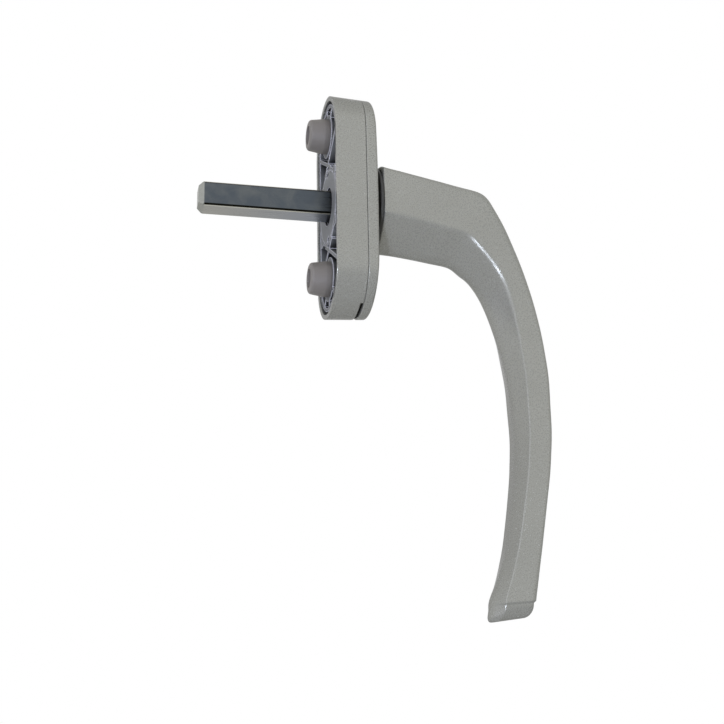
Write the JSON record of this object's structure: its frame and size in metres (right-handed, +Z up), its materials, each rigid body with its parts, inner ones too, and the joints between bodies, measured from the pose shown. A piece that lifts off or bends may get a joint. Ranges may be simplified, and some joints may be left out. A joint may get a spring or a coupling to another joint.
{
  "type": "window handle",
  "caption": "Espagnolette window handle: flat-sided lever with a keeled neck on an oval rosette with a turning cover cap, locating lugs and a square spindle that drives the window gear.",
  "frame": {"origin": "centre of the rosette's back plane, on the axis of the spindle", "axes": "+X out of the window frame along the spindle's axis, towards the lever; +Z up along the line of the screw centres; the lever hangs towards -Z, as on a closed window; +Y across"},
  "size_m": [0.0967, 0.0278, 0.1464],
  "materials": {
    "silver_coating": "satin silver powder coat on cast aluminium",
    "grey_moulding": "moulded glass-filled nylon, bluish grey",
    "lug_moulding": "moulded nylon, warm grey",
    "black_moulding": "moulded acetal, black",
    "natural_nylon": "moulded nylon, natural",
    "zinc_plated_steel": "bright zinc plating with a blue tint",
    "spring_steel": "rolled, oiled"
  },
  "bodies": {
    "rosette": {"rosette_housing": "silver_coating", "base_plate": "grey_moulding", "upper_lug_sleeve": "lug_moulding", "lower_lug_sleeve": "lug_moulding", "bearing_bush": "black_moulding", "closing_disc": "grey_moulding", "upper_detent_spring": "spring_steel", "lower_detent_spring": "spring_steel"},
    "lever": {"lever": "silver_coating", "spindle": "zinc_plated_steel", "spindle_pin": "zinc_plated_steel", "detent_cam": "zinc_plated_steel", "thrust_washer": "zinc_plated_steel", "retaining_ring": "spring_steel"},
    "cap_ring": {"cap_guide_ring": "natural_nylon"},
    "cap": {"cover_cap": "silver_coating"}
  },
  "joints": [
    {"name": "lever_turn", "type": "hinge", "parent": "rosette", "child": "lever", "pos_m": [0, 0, 0], "axis": [1, 0, 0], "continuous": true, "deforming": ["upper_detent_spring", "lower_detent_spring"]},
    {"name": "cap_lift", "type": "slide", "parent": "rosette", "child": "cap_ring", "axis": [1, 0, 0], "range_m": [0, 0.0009]},
    {"name": "cap_turn", "type": "hinge", "parent": "cap_ring", "child": "cap", "pos_m": [0, 0, 0], "axis": [1, 0, 0], "range_deg": [-90, 90]}
  ]
}
